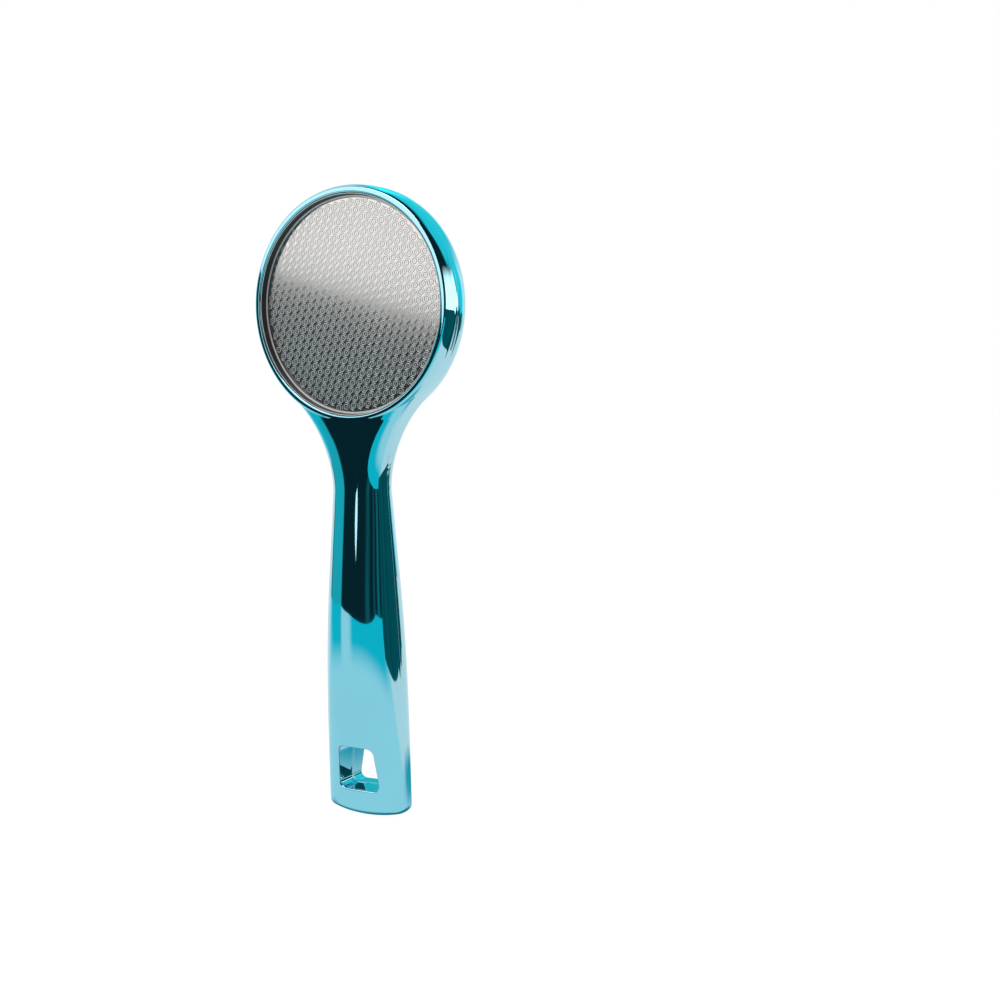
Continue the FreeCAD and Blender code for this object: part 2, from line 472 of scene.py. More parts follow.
class ShaderGraph:
    """Node tree of one material or of the world."""

    def __init__(self, tree: bpy.types.NodeTree) -> None:
        """Starts from an empty tree."""
        self.tree = tree
        tree.nodes.clear()

    def node(self, kind: str, settings: Settings = None, inputs: Inputs = None) -> bpy.types.Node:
        """Adds a node.

        Args:
            kind: Type name of the node.
            settings: Its properties, set first.
            inputs: Values, fields or sockets for its inputs, by name or number.

        Returns:
            The new node.
        """
        made = self.tree.nodes.new(kind)
        for key, value in (settings or {}).items():
            setattr(made, key, value)
        for key, value in (inputs or {}).items():
            value = value.socket if isinstance(value, Field) else value
            if isinstance(value, bpy.types.NodeSocket):
                self.tree.links.new(value, made.inputs[key])
            else:
                made.inputs[key].default_value = value
        return made

    def field(
        self, kind: str, settings: Settings = None, inputs: Inputs = None, output: str | int = 0
    ) -> Field:
        """Adds a node and wraps one of its outputs."""
        return Field(self, self.node(kind, settings, inputs).outputs[output])

    def place(self, kind: str = "Object") -> Field:
        """Texture coordinates of one kind."""
        return self.field("ShaderNodeTexCoord", output=kind)

    def part(self, vector: Field, axis: str) -> Field:
        """One component of a vector."""
        return self.field("ShaderNodeSeparateXYZ", None, {0: vector}, axis)

    def vector(
        self, operation: str, first: Field | Colour, second: Field | Colour = BLACK, output: str = "Vector"
    ) -> Field:
        """Result of one Vector Math node."""
        return self.field("ShaderNodeVectorMath", {"operation": operation}, {0: first, 1: second}, output)

    def scaled(self, colour: Colour, share: Field) -> Field:
        """A colour times a value."""
        return self.field("ShaderNodeVectorMath", {"operation": "SCALE"}, {0: colour, "Scale": share})

    def noise(self, place: Field, scale: float, detail: float = 2.0, roughness: float = 0.5) -> Field:
        """Noise value from nought to one."""
        inputs = {"Vector": place, "Scale": scale, "Detail": detail, "Roughness": roughness}
        return self.field("ShaderNodeTexNoise", {"noise_dimensions": "3D"}, inputs)

    def blend(self, share: Field, low: Field | Colour, high: Field | Colour) -> Field:
        """Colour between two colours.

        Args:
            share: How far towards the second colour.
            low: First colour, linked or plain.
            high: Second colour, linked or plain.

        Returns:
            The colour between them.
        """
        low, high = (colour if isinstance(colour, Field) else (*colour, 1.0) for colour in (low, high))
        share_in, low_in, high_in, colour_out = 0, 6, 7, 2
        inputs = {share_in: share, low_in: low, high_in: high}
        return self.field("ShaderNodeMix", {"data_type": "RGBA"}, inputs, colour_out)

    def bump(self, height: Field, strength: float, distance: float) -> Field:
        """Normal bent by a height."""
        inputs = {"Height": height, "Strength": strength, "Distance": distance}
        return self.field("ShaderNodeBump", None, inputs, "Normal")

    def sight(self) -> tuple[Field, Field]:
        """Whether the camera sees the surface directly, and whether a mirror does."""
        path = self.node("ShaderNodeLightPath")
        return Field(self, path.outputs["Is Camera Ray"]), Field(self, path.outputs["Is Glossy Ray"])

    def mixed(self, share: Field, low: bpy.types.Node, high: bpy.types.Node) -> bpy.types.Node:
        """Shader between two shaders."""
        return self.node("ShaderNodeMixShader", None, {0: share, 1: low.outputs[0], 2: high.outputs[0]})

    def principled(self, inputs: dict[str, object]) -> bpy.types.Node:
        """Principled shader with the given inputs."""
        return self.node("ShaderNodeBsdfPrincipled", None, inputs)


@dataclass(frozen=True)
class Finish:
    """A material by name; each kind of finish fills in its own nodes."""

    name: str

    def surface(self, graph: ShaderGraph) -> bpy.types.Node:
        """Adds the finish's shader to the graph and returns its node."""
        raise NotImplementedError

    def material(self) -> bpy.types.Material:
        """The finish's material, made once.

        Returns:
            The material.
        """
        found = bpy.data.materials.get(self.name)
        if found is not None:
            return found
        made = bpy.data.materials.new(self.name)
        made.use_nodes = True
        graph = ShaderGraph(made.node_tree)
        graph.node("ShaderNodeOutputMaterial", None, {"Surface": self.surface(graph).outputs[0]})
        return made

    def dress(self, piece: bpy.types.Object) -> None:
        """Gives the finish to a piece in place of what it had; a new mesh keeps its faces' numbers.

        Args:
            piece: The piece.
        """
        if piece.data.materials:
            piece.data.materials.clear()
        piece.data.materials.append(self.material())


@dataclass(frozen=True)
class PlatedLacquer(Finish):
    """Mirror plating under a clear coloured lacquer."""

    deep: Colour = (0.004, 0.43, 0.57)
    pale: Colour = (0.008, 0.47, 0.61)
    pool_scale: float = 38.0
    haze_scale: float = 900.0
    haze: float = 0.03
    roughness: float = 0.03
    coat_roughness: float = 0.02
    coat_ior: float = 3.8
    wave_scale: float = 160.0
    wave_stretch: Colour = (1.0, 1.0, 0.07)
    wave_strength: float = 0.05

    def surface(self, graph: ShaderGraph) -> bpy.types.Node:
        """Tinted metal with a thin clear coat, faint waves and a trace of haze.

        Args:
            graph: Where the nodes go.

        Returns:
            The shader's node.
        """
        place = graph.place()
        pool = graph.noise(place, self.pool_scale, 3.0)
        haze = graph.noise(place, self.haze_scale, 3.0)
        wave = graph.noise(graph.vector("MULTIPLY", place, self.wave_stretch), self.wave_scale, 1.0)
        return graph.principled({
            "Base Color": graph.blend(pool.step(0.3, 0.7), self.deep, self.pale),
            "Metallic": 1.0,
            "Roughness": haze * self.haze + self.roughness,
            "Coat Weight": 1.0,
            "Coat Roughness": self.coat_roughness,
            "Coat IOR": self.coat_ior,
            "Normal": graph.bump(wave, self.wave_strength, MM),
        })


@dataclass(frozen=True)
class PlateSteel(Finish):
    """Steel of a file plate, with a fine grain in its colour and gloss and clouds in its colour."""

    dark: Colour
    light: Colour
    metallic: float
    roughness: float
    roughness_span: float
    grain_scale: float
    grain_detail: float = 2.0
    grain_roughness: float = 0.5
    cloud_scale: float = 160.0
    cloud_share: float = 0.0

    def surface(self, graph: ShaderGraph) -> bpy.types.Node:
        """Grey metal with grains of its working.

        Args:
            graph: Where the nodes go.

        Returns:
            The shader's node.
        """
        place = graph.place()
        grain = graph.noise(place, self.grain_scale, self.grain_detail, self.grain_roughness)
        share = grain
        if self.cloud_share:
            cloud = graph.noise(place, self.cloud_scale)
            share = grain * (1.0 - self.cloud_share) + cloud * self.cloud_share
        return graph.principled({
            "Base Color": graph.blend(share, self.dark, self.light),
            "Metallic": self.metallic,
            "Roughness": grain * self.roughness_span + self.roughness,
        })


@dataclass(frozen=True)
class RingSteel(Finish):
    """Plain steel of the plate rings: a wall painted near black as the shade of the recess, and a lip and
    other outward faces painted pale as light.
    """

    # dark and light: grain colours of the wall, painted near black as the shade of the recess
    dark: Colour = (0.012, 0.012, 0.0125)
    light: Colour = (0.05, 0.05, 0.051)
    # lip: painted light, the pale colour of every face that looks outward along the depth, lip and crest
    # alike
    lip: Colour = (0.86, 0.84, 0.82)
    lit_facing_edge: Pair = (0.8, 0.97)
    metallic: float = 0.1
    roughness: float = 0.3
    roughness_span: float = 0.15
    grain_scale: float = 3600.0

    def surface(self, graph: ShaderGraph) -> bpy.types.Node:
        """Steel with a fine grain, painted dark grey on the wall as shade and painted pale as light where it
        faces outward.

        Args:
            graph: Where the nodes go.

        Returns:
            The shader's node.
        """
        grain = graph.noise(graph.place(), self.grain_scale, 3.0, 0.65)
        normal = graph.field("ShaderNodeNewGeometry", output="Normal")
        # painted light: faces that look outward along the depth, lip and crest, get the pale colour
        outward = abs(graph.part(normal, "Y")).step(*self.lit_facing_edge)
        # painted shade: the ring's wall is near black for the shade in the recess
        wall = graph.blend(grain.step(0.25, 0.8), self.dark, self.light)
        return graph.principled({
            "Base Color": graph.blend(outward, wall, self.lip),
            "Metallic": self.metallic,
            "Roughness": grain * self.roughness_span + self.roughness,
            "Normal": graph.bump(grain, 0.1, 0.1 * MM),
        })


@dataclass(frozen=True)
class FoamTape(Finish):
    """White foam of the adhesive pads."""

    pore: Colour = (0.62, 0.62, 0.60)
    skin: Colour = (0.86, 0.86, 0.84)
    pore_scale: float = 2600.0
    roughness: float = 0.8
    roughness_span: float = 0.1

    def surface(self, graph: ShaderGraph) -> bpy.types.Node:
        """Matt foam with small pores.

        Args:
            graph: Where the nodes go.

        Returns:
            The shader's node.
        """
        pores = graph.noise(graph.place(), self.pore_scale)
        return graph.principled({
            "Base Color": graph.blend(pores.step(0.35, 0.6), self.pore, self.skin),
            "Roughness": pores * self.roughness_span + self.roughness,
            "Normal": graph.bump(pores, 0.4, 0.2 * MM),
        })


class MeshDraft:
    """Points and faces gathered for one mesh, as rows of (across, depth, height) in millimetres."""

    weld = 2e-6
    speck = 1e-7

    def __init__(self) -> None:
        """Starts with nothing."""
        self.points: list[np.ndarray] = []
        self.faces: list[tuple[int, ...]] = []
        self.grains: dict[int, Grain] = {}
        self.count = 0

    def add(self, points: np.ndarray) -> np.ndarray:
        """Takes in points.

        Args:
            points: One row for each point.

        Returns:
            Their numbers.
        """
        numbers = np.arange(self.count, self.count + len(points))
        self.points.append(np.asarray(points, float))
        self.count += len(points)
        return numbers

    def turned(self, profile: Sequence[Pair], height: float, steps: int) -> list[np.ndarray]:
        """Takes in a profile's points at even turns about the head's own axis.

        Args:
            profile: Pairs of (radius, depth), each off the axis.
            height: Height of the axis.
            steps: How many turns.

        Returns:
            The points' numbers at each turn.
        """
        lines = []
        for angle in 2.0 * math.pi * np.arange(steps) / steps:
            sin, cos = math.sin(angle), math.cos(angle)
            lines.append(self.add(np.array([[r * sin, d, height + r * cos] for r, d in profile])))
        return lines

    def strip(self, here: np.ndarray, there: np.ndarray) -> None:
        """Joins two lines of point numbers of one length with four-sided faces."""
        for i in range(len(here) - 1):
            self.faces.append((here[i], there[i], there[i + 1], here[i + 1]))

    def weave(self, lines: list[np.ndarray]) -> None:
        """Joins closed lines into a closed skin, each with the next and the last with the first."""
        for here, there in zip(lines, lines[1:] + lines[:1]):
            self.strip(np.append(here, here[0]), np.append(there, there[0]))

    def finish(self, name: str, face: Face, sharp_degrees: float = 38.0) -> bpy.types.Object:
        """Turns the draft into an object: welded, normals outward, smooth but for sharp edges.

        Args:
            name: Name of the new piece.
            face: Face of the tool that the depth counts towards.
            sharp_degrees: Edges that bend more than this stay crisp.

        Returns:
            The new object, linked to the scene.
        """
        points = np.concatenate(self.points) * np.array([1.0, face.value, 1.0]) * MM
        mesh = bpy.data.meshes.new(name)
        faces = [tuple(int(i) for i in corners) for corners in self.faces]
        mesh.from_pydata(points.tolist(), [], faces)
        for number, grain in self.grains.items():
            mesh.polygons[number].material_index = grain.value
        work = bmesh.new()
        work.from_mesh(mesh)
        bmesh.ops.remove_doubles(work, verts=work.verts, dist=self.weld)
        bmesh.ops.dissolve_degenerate(work, edges=work.edges, dist=self.speck)
        bmesh.ops.recalc_face_normals(work, faces=work.faces)
        work.to_mesh(mesh)
        work.free()
        mesh.shade_smooth()
        mesh.set_sharp_from_angle(angle=math.radians(sharp_degrees))
        return placed(name, mesh)


@dataclass
class SubAssembly:
    """Piece on one face of the tool, with a finish for each of its faces' material numbers."""

    face: Face
    finishes: tuple[Finish, ...] = ()

    def build(self, name: str) -> bpy.types.Object:
        """New object of the piece's mesh; each kind has its own."""
        raise NotImplementedError

    def dress(self, piece: bpy.types.Object) -> None:
        """Gives a built piece its finishes in order."""
        for finish in self.finishes:
            piece.data.materials.append(finish.material())


@dataclass(frozen=True)
class Span:
    """Part of the fan of rays below the head's sides.

    It ends at a height of the outline, and inside at a share of the rim's line or of the hole's line, or
    at a height of the spine.
    """

    outline_height: float
    inside: InnerEnd
    place: float
    faces: int


@dataclass(frozen=True)
class Ray:
    """One line over the body's face: its ends, the way out at its inner end, and what that lies on."""

    start: np.ndarray
    stop: np.ndarray
    way: np.ndarray
    on_rim: bool
    on_hole: bool


@dataclass
class Shell(SubAssembly):
    """One plated half of the body, from the shells' plane to its face, in millimetres."""

    finishes: tuple[Finish, ...] = (PlatedLacquer("lacquered_plating"),)
    form: BodyForm = field(default_factory=BodyForm)
    hole: HoleForm = field(default_factory=HoleForm)
    seat_face: float = 1.9
    rim_round: float = 0.5
    radial_turn: float = math.radians(128.0)
    head_rays: int = 118
    fan: tuple[Span, ...] = (
        Span(117.0, InnerEnd.RIM, 1.0, 52),
        Span(100.0, InnerEnd.SPINE, 106.0, 22),
        Span(34.0, InnerEnd.SPINE, 33.0, 80),
        Span(27.5, InnerEnd.HOLE, 0.0, 12),
        Span(22.5, InnerEnd.HOLE, 0.29, 14),
        Span(8.0, InnerEnd.HOLE, 0.68, 22),
        Span(0.0, InnerEnd.HOLE, 1.0, 34),
    )
    head_points: int = 60
    side_points: int = 700
    end_points: int = 80
    rim_points: int = 120
    spine_points: int = 200
    rows: int = 46
    first_row_depth: float = 0.06
    first_samples: int = 40
    samples: int = 900
    sample_power: float = 2.2
    bend_share: float = 1.1
    round_rows: int = 9
    recess_rows: int = 3
    mouth_rows: int = 9
    hole_wall_rows: int = 14
    hole_wall_power: float = 0.8
    slope_step: float = 0.2
    fine_step: float = 0.02
    eased_fit: float = 0.01
    eased_depth: float = 0.4

    def outline(self) -> np.ndarray:
        """Right half of the body's outline below the head's sides, down to the end's middle.

        Returns:
            Rows of (across, height).
        """
        form = self.form
        tangent = math.acos((form.flare_top - form.head_height) / form.head_radius)
        turn = np.linspace(self.radial_turn, tangent, self.head_points)
        head = circle(turn, form.head_radius, form.head_height)
        corner_x, corner_z = form.corner_centre
        heights = np.linspace(form.flare_top, corner_z, self.side_points)[1:]
        side = np.stack([form.half_width(heights), heights], axis=1)
        swing = np.linspace(QUARTER, form.corner_lean, self.end_points)
        round_x = corner_x + form.end_corner_radius * np.sin(swing)
        round_z = corner_z - form.end_corner_radius * np.cos(swing)
        inside = round_x < float(form.half_width(np.array(corner_z)))
        corner = np.stack([round_x, round_z], axis=1)[inside]
        across = np.linspace(round_x[-1], 0.0, self.end_points)[1:]
        crown = np.stack([across, form.end_floor(across)], axis=1)
        return np.concatenate([head, side, corner, crown])

    def inner_line(self) -> np.ndarray:
        """Line that the rays below the head's sides end on: rim, spine, then the hole's mouth.

        Returns:
            Rows of (across, height).
        """
        form = self.form
        turn = np.linspace(self.radial_turn, math.pi, self.rim_points)
        rim = circle(turn, form.land_radius, form.head_height)
        rim[-1, 0] = 0.0
        mouth = self.hole.mouth()
        heights = np.linspace(form.rim_foot, mouth[0, 1], self.spine_points)[1:-1]
        spine = np.stack([np.zeros_like(heights), heights], axis=1)
        return np.concatenate([rim, spine, mouth])

    def rays(self) -> list[Ray]:
        """Lines from the right half of the outline inward, from the head's top to the end's middle.

        Returns:
            The rays in order.
        """
        form = self.form
        outline, inner = self.outline(), self.inner_line()
        run_out, run_in = walk(outline), walk(inner)
        rim_run = run_in[self.rim_points - 1]
        mouth_run = run_in[-len(self.hole.mouth())]
        outs, ins = np.zeros(1), np.zeros(1)
        for span in self.fan:
            out = run_out[int(np.argmax(outline[:, 1] <= span.outline_height + TINY))]
            into = {
                InnerEnd.RIM: rim_run * span.place,
                InnerEnd.SPINE: rim_run + form.rim_foot - span.place,
                InnerEnd.HOLE: mouth_run + span.place * (run_in[-1] - mouth_run),
            }[span.inside]
            share = np.linspace(0.0, 1.0, span.faces + 1)[1:]
            outs = np.append(outs, outs[-1] + (out - outs[-1]) * share)
            ins = np.append(ins, ins[-1] + (into - ins[-1]) * share)
        held = np.where(ins >= mouth_run - TINY, mouth_run, 0.0)
        ahead = along(inner, ins + self.fine_step)
        tangent = unit(ahead - along(inner, np.maximum(ins - self.fine_step, held)))
        turn = np.linspace(0.0, self.radial_turn, self.head_rays)[:-1]
        starts = [circle(turn, form.head_radius, form.head_height), along(outline, outs)]
        stops = [circle(turn, form.land_radius, form.head_height), along(inner, ins)]
        ways = [circle(turn, 1.0, 0.0), np.stack([-tangent[:, 1], tangent[:, 0]], axis=1)]
        places = np.concatenate([np.zeros(len(turn)), ins])
        on_rim, on_hole = places <= rim_run + TINY, places >= mouth_run - TINY
        columns = (np.concatenate(starts), np.concatenate(stops), np.concatenate(ways))
        return [Ray(*row) for row in zip(*columns, on_rim, on_hole)]

    def face_rows(self, start: np.ndarray, stop: np.ndarray) -> np.ndarray:
        """Points up the body's face along one ray, close together where the face bends.

        Args:
            start: Outer end, on the outline.
            stop: Inner end.

        Returns:
            Rows of (across, depth, height).
        """
        fine = np.linspace(0.0, 1.0, self.samples) ** self.sample_power
        flat = start + (stop - start) * fine[:, None]
        depth = self.form.depth(flat[:, 0], flat[:, 1])
        depth[0] = 0.0
        run = fine * np.linalg.norm(stop - start)
        lengths = np.hypot(np.diff(run), np.diff(depth))
        lean = np.unwrap(np.arctan2(np.diff(depth), np.diff(run)))
        turn = np.abs(np.gradient(lean))
        total = lengths / lengths.sum() + self.bend_share * turn / max(turn.sum(), TINY)
        measure = np.concatenate([[0.0], np.cumsum(total)])
        near = slice(self.first_samples)
        first = float(np.interp(self.first_row_depth, depth[near], fine[near]))
        begin = float(np.interp(first, fine, measure))
        picks = np.interp(np.linspace(begin, measure[-1], self.rows - 1), measure, fine)
        picks = np.concatenate([[0.0], picks])
        flat = start + (stop - start) * picks[:, None]
        return np.stack([flat[:, 0], np.interp(picks, fine, depth), flat[:, 1]], axis=1)

    def rim_rows(self, stop: np.ndarray) -> np.ndarray:
        """Points over the rim's crest and down the recess wall to the plate's seat.

        Args:
            stop: Place on the crest's outer line where the face ends.

        Returns:
            Rows of (across, depth, height).
        """
        form, bend = self.form, self.rim_round
        centre = np.array([0.0, form.head_height])
        swing = np.linspace(0.0, QUARTER, self.round_rows)
        radii = form.recess_radius + bend * (1.0 - np.sin(swing))
        depths = form.rim_half_thickness - bend * (1.0 - np.cos(swing))
        wall = np.linspace(depths[-1], self.seat_face, self.recess_rows + 1)[1:]
        radii = np.concatenate([radii, np.full(self.recess_rows, form.recess_radius)])
        flat = centre + unit(stop - centre) * radii[:, None]
        return np.stack([flat[:, 0], np.concatenate([depths, wall]), flat[:, 1]], axis=1)

    def hole_rows(self, stop: np.ndarray, out: np.ndarray) -> np.ndarray:
        """Points round the hole's mouth and down its wall to the shells' plane.

        Args:
            stop: Place on the line around the mouth where the face ends.
            out: Direction away from the hole there.

        Returns:
            Rows of (across, depth, height).
        """
        hole, mouth = self.hole, self.hole.mouth_round
        there = stop + out * self.slope_step
        here, beyond = (float(self.form.depth(place[:1], place[1:])[0]) for place in (stop, there))
        edge = here - (beyond - here) / self.slope_step * mouth
        foot = edge - mouth
        t = np.linspace(0.0, 1.0, self.mouth_rows + 1)[1:]
        inward = mouth * (1.0 - (1.0 - t) ** 2)
        depths = here * (1.0 - t) ** 2 + 2.0 * edge * t * (1.0 - t) + foot * t * t
        share = np.linspace(0.0, 1.0, self.hole_wall_rows + 1)[1:] ** self.hole_wall_power
        wall = foot * (1.0 - share)
        ridge = hole.parting_ridge * np.exp(-((wall / hole.parting_width) ** 2))
        inward = np.concatenate([inward, mouth + hole.draft * share + ridge])
        flat = stop - out * inward[:, None]
        return np.stack([flat[:, 0], np.concatenate([depths, wall]), flat[:, 1]], axis=1)

    def ray_rows(self, ray: Ray) -> dict[str, np.ndarray]:
        """Points of every surface that meets at one ray.

        Args:
            ray: The ray.

        Returns:
            Rows of (across, depth, height) by surface.
        """
        rows = {"face": self.face_rows(ray.start, ray.stop)}
        foot = np.array([ray.stop[0], 0.0, ray.stop[1]])
        if ray.on_rim:
            rows["rim"] = np.concatenate([rows["face"][-1:], self.rim_rows(ray.stop)])
        if ray.on_hole:
            rows["hole"] = np.concatenate([rows["face"][-1:], self.hole_rows(ray.stop, ray.way)])
            foot = rows["hole"][-1]
        rows["plane"] = np.stack([rows["face"][0], foot])
        return rows

    def build(self, name: str) -> bpy.types.Object:
        """Closed mesh of the shell.

        Args:
            name: Name of the piece.

        Returns:
            The new object.
        """
        draft = MeshDraft()
        right = [self.ray_rows(ray) for ray in self.rays()]
        flip = np.array([-1.0, 1.0, 1.0])
        left = [{kind: rows * flip for kind, rows in ray.items()} for ray in right[-2:0:-1]]
        places = [{kind: draft.add(rows) for kind, rows in ray.items()} for ray in right + left]
        height = self.form.head_height
        seat, middle = draft.add(np.array([[0.0, self.seat_face, height], [0.0, 0.0, height]]))
        for here, there in zip(places, places[1:] + places[:1]):
            for kind in ("face", "rim", "hole", "plane"):
                if kind in here and kind in there:
                    draft.strip(here[kind], there[kind])
            if "rim" in here and "rim" in there:
                draft.faces.append((here["rim"][-1], there["rim"][-1], seat))
                draft.faces.append((here["plane"][-1], there["plane"][-1], middle))
        piece = draft.finish(name, self.face)
        self.ease_shading(piece.data)
        return piece

    def ease_shading(self, mesh: bpy.types.Mesh) -> None:
        """Gives the face's points the exact normals of its form, so that mirrored edges run clean.

        Args:
            mesh: The shell's mesh.
        """
        form, hole, step = self.form, self.hole, self.fine_step
        points = np.empty(len(mesh.vertices) * 3)
        mesh.vertices.foreach_get("co", points)
        across, deep, height = (points.reshape(-1, 3) / MM).T
        deep = deep * self.face.value
        radius = np.hypot(across, height - form.head_height)
        use = np.abs(across) > hole.bottom_half_width + hole.mouth_round
        use |= (height > hole.top + hole.mouth_round) | (height < hole.bottom - hole.mouth_round)
        use &= (deep > self.eased_depth) & (radius > form.land_radius)
        use &= np.abs(form.depth(across, height) - deep) < self.eased_fit
        slope_x = form.depth(across + step, height) - form.depth(across - step, height)
        slope_z = form.depth(across, height + step) - form.depth(across, height - step)
        facing = np.full(len(across), 2.0 * step * self.face.value)
        normals = unit(np.stack([-slope_x, facing, -slope_z], axis=1))
        mesh.normals_split_custom_set_from_vertices(np.where(use[:, None], normals, 0.0).tolist())


@dataclass
class PlateRing(SubAssembly):
    """Steel ring of L section that lines the recess and holds the plate's border, in millimetres."""

    finishes: tuple[Finish, ...] = (RingSteel("drawn_ring_metal"),)
    head_height: float = 165.0
    radius: float = 34.7
    wall: float = 0.35
    foot: float = 3.0
    crest: float = 5.55
    lip_width: float = 0.9
    lip_thickness: float = 0.4
    fillet: float = 0.45
    edge_round: float = 0.12
    bend_points: int = 5
    tip_points: int = 6
    steps: int = 240

    def profile(self) -> list[Pair]:
        """Closed section of the ring, with a rounded crest, a filleted corner and a rounded lip.

        Returns:
            Pairs of (radius, depth).
        """
        bore = self.radius - self.wall
        lip = self.foot + self.lip_thickness
        tip, half = bore - self.lip_width, self.lip_thickness / 2.0
        edge, fillet, count = self.edge_round, self.fillet, self.bend_points
        top = self.crest - edge
        return [
            (self.radius, self.foot),
            *arc((self.radius - edge, top), edge, 0.0, 90.0, count),
            *arc((bore + edge, top), edge, 90.0, 180.0, count),
            *arc((bore - fillet, lip + fillet), fillet, 0.0, -90.0, count),
            *arc((tip + half, lip - half), half, 90.0, 180.0, self.tip_points),
            (tip, self.foot),
        ]

    def build(self, name: str) -> bpy.types.Object:
        """Closed mesh of the ring.

        Args:
            name: Name of the piece.

        Returns:
            The new object.
        """
        draft = MeshDraft()
        draft.weave(draft.turned(self.profile(), self.head_height, self.steps))
        return draft.finish(name, self.face)


@dataclass(frozen=True)
class Bar:
    """One kind of straight ridge: its foot, the width of its sloping sides, and its finishes."""

    length: float
    width: float
    slope: float
    sides: Grain = Grain.ETCHED
    land: Grain = Grain.ETCHED


@dataclass
class FilePlate(SubAssembly):
    """Thin steel disc with a raised filing relief, in millimetres; its finishes go by Grain."""

    finishes: tuple[Finish, ...] = (
        PlateSteel(
            "etched_plate_metal", (0.58, 0.553, 0.541), (0.70, 0.667, 0.652), 0.90, 0.08, 0.08,
            5200.0, 3.0, 0.6, cloud_share=0.4,
        ),
        PlateSteel("ground_ridge_metal", (0.52, 0.494, 0.48), (0.61, 0.58, 0.565), 1.0, 0.04, 0.05, 7000.0),
        PlateSteel("frosted_crest_metal", (0.50, 0.468, 0.452), (0.64, 0.60, 0.58), 0.72, 0.3, 0.15, 6000.0),
    )
    head_height: float = 165.0
    radius: float = 34.6
    hub: float = 0.5
    thickness: float = 0.5
    top: float = 3.0
    border_ease: float = 0.08
    pattern_radius: float = 33.4
    relief: float = 0.11
    root: float = 0.04
    steps: int = 192
    sharp_degrees: float = 30.0

    def base(self, draft: MeshDraft) -> None:
        """Adds the plain disc, its top eased at the border.

        Args:
            draft: Where the points and faces go.
        """
        low, ease = self.top - self.thickness, self.border_ease
        profile = [
            (self.hub, self.top),
            (self.pattern_radius, self.top),
            (self.radius - ease, self.top),
            (self.radius, self.top - ease),
            (self.radius, low),
            (self.hub, low),
        ]
        lines = draft.turned(profile, self.head_height, self.steps)
        caps = draft.add(np.array([[0.0, depth, self.head_height] for depth in (self.top, low)]))
        for here, there in zip(lines, lines[1:] + lines[:1]):
            draft.strip(here, there)
            draft.faces.append((here[0], there[0], caps[0]))
            draft.faces.append((here[-1], there[-1], caps[1]))

    def place(self, flat: np.ndarray, depth: float) -> np.ndarray:
        """Points on the plate at one depth, drawn in where they would pass the pattern's border.

        Args:
            flat: Rows of (across, up) from the plate's centre.
            depth: Depth of all of them.

        Returns:
            Rows of (across, depth, height).
        """
        reach = np.maximum(np.linalg.norm(flat, axis=1), TINY)
        held = flat * np.minimum(1.0, self.pattern_radius / reach)[:, None]
        up = held[:, 1] + self.head_height
        return np.stack([held[:, 0], np.full(len(held), depth), up], axis=1)

    def raised(
        self, draft: MeshDraft, low: np.ndarray, high: np.ndarray, height: float, sides: Grain, land: Grain
    ) -> None:
        """Adds one raised tooth: a foot outline under the face and a smaller crest above it.

        Args:
            draft: Where the points and faces go.
            low: Corners of the foot, across and up.
            high: Corners of the crest, as many as the foot has.
            height: Height of the crest above the plate.
            sides: Finish of the sloping sides.
            land: Finish of the crest.
        """
        foot = draft.add(self.place(low, self.top - self.root))
        crest = draft.add(self.place(high, self.top + height))
        for i, j in zip(range(len(foot)), [*range(1, len(foot)), 0]):
            draft.grains[len(draft.faces)] = sides
            draft.faces.append((foot[i], foot[j], crest[j], crest[i]))
        draft.grains[len(draft.faces)] = land
        draft.faces.append(tuple(crest))
        draft.faces.append(tuple(foot[::-1]))

    def ridge(self, draft: MeshDraft, centre: np.ndarray, angle: float, bar: Bar) -> None:
        """Adds one straight ridge with sloping sides.

        Args:
            draft: Where the points and faces go.
            centre: Middle of the ridge.
            angle: Direction of its length, in radians from across.
            bar: Its sizes and finishes.
        """
        cos, sin = math.cos(angle), math.sin(angle)
        axes = np.array([[cos, sin], [-sin, cos]])
        signs = np.array([[-1, -1], [1, -1], [1, 1], [-1, 1]])
        half = np.array([bar.length, bar.width]) / 2.0
        low, high = (centre + (signs * (half - inset)) @ axes for inset in (0.0, bar.slope))
        self.raised(draft, low, high, self.relief, bar.sides, bar.land)

    def pattern(self, draft: MeshDraft) -> None:
        """Adds the raised relief; each kind of plate has its own."""
        raise NotImplementedError

    def build(self, name: str) -> bpy.types.Object:
        """Closed meshes of the disc and its relief, joined in one piece.

        Args:
            name: Name of the piece.

        Returns:
            The new object.
        """
        draft = MeshDraft()
        self.base(draft)
        self.pattern(draft)
        return draft.finish(name, self.face, self.sharp_degrees)


